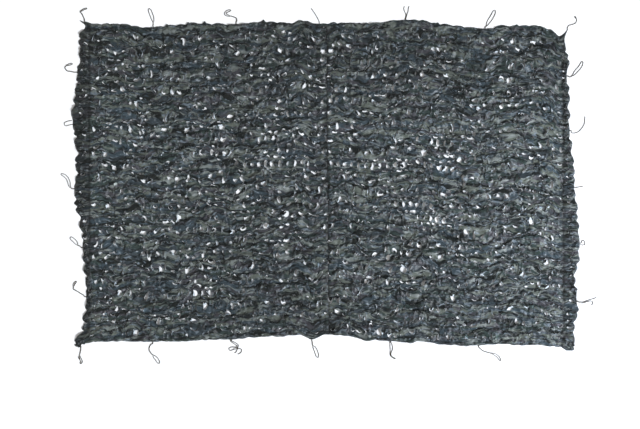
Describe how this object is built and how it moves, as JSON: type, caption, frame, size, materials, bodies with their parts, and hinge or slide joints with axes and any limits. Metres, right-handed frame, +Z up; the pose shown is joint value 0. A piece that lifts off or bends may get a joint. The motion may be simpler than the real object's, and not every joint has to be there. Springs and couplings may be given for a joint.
{
  "type": "camouflage net",
  "caption": "Rectangular camouflage net of leaf-cut printed cloth, laid flat, with a middle seam, a turned hem, pulled-out corners and thin tie cords along its edges.",
  "frame": {"origin": "on the floor, under the middle of the laid-out net", "axes": "+X along the long side, +Y along the short side, +Z up from the floor"},
  "size_m": [3.3075, 2.2076, 0.0263],
  "materials": {
    "printed_cloth": "woven polyester, printed in dark green, slate and brown blotches, soft sheen",
    "tie_cord": "thin braided cord, dark grey"
  },
  "bodies": {
    "root": {"cloth_left": "printed_cloth", "cloth_right": "printed_cloth", "tie_bottom_0": "tie_cord", "tie_bottom_1": "tie_cord", "tie_bottom_2": "tie_cord", "tie_bottom_2b": "tie_cord", "tie_bottom_3": "tie_cord", "tie_bottom_4": "tie_cord", "tie_bottom_5": "tie_cord", "tie_left_1": "tie_cord", "tie_left_2": "tie_cord", "tie_left_3": "tie_cord", "tie_left_4": "tie_cord", "tie_left_5": "tie_cord", "tie_right_1": "tie_cord", "tie_right_2": "tie_cord", "tie_right_3": "tie_cord", "tie_right_4": "tie_cord", "tie_right_5": "tie_cord", "tie_right_5b": "tie_cord", "tie_top_0": "tie_cord", "tie_top_1": "tie_cord", "tie_top_2": "tie_cord", "tie_top_3": "tie_cord", "tie_top_4": "tie_cord", "tie_top_4b": "tie_cord", "tie_top_5": "tie_cord", "tie_top_6": "tie_cord"}
  },
  "joints": []
}
